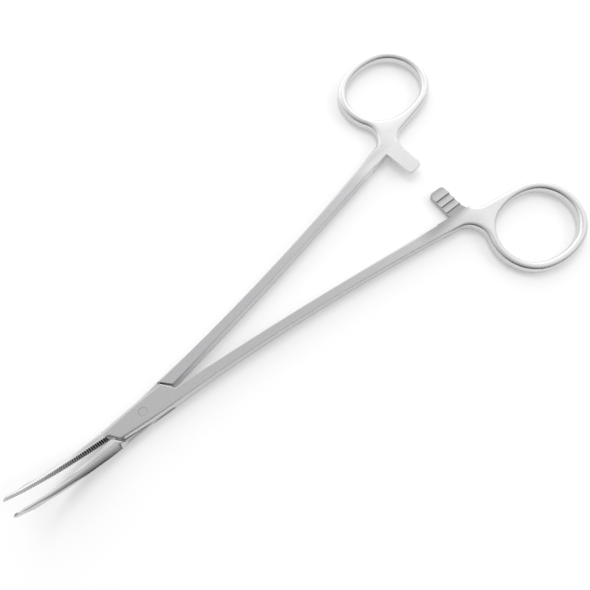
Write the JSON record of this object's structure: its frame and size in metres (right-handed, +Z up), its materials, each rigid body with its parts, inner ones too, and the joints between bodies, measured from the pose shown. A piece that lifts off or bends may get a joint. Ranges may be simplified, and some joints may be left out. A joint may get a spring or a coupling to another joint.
{
  "type": "hemostat forceps",
  "caption": "Curved locking forceps: slim shanks cross in a box lock, with fine serrated jaws that curve upwards, finger rings and a ratchet catch.",
  "frame": {"origin": "pivot axis at the underside of the box lock, which is also the plane that the forceps lie on", "axes": "+X towards the finger rings, along the line that halves the angle between the shanks; +Y towards the ring of the tongue half; +Z up, the way the jaws curve"},
  "size_m": [0.1855, 0.0992, 0.016],
  "materials": {
    "satin_steel": "satin"
  },
  "bodies": {
    "box_side": {"box_half": "satin_steel", "pivot_pin": "satin_steel"},
    "tongue_side": {"tongue_half": "satin_steel"}
  },
  "joints": [
    {"name": "lock_pivot", "type": "hinge", "parent": "box_side", "child": "tongue_side", "pos_m": [0, 0, 0.00265], "axis": [0, 0, 1], "range_deg": [-6.6, 53.4]}
  ]
}
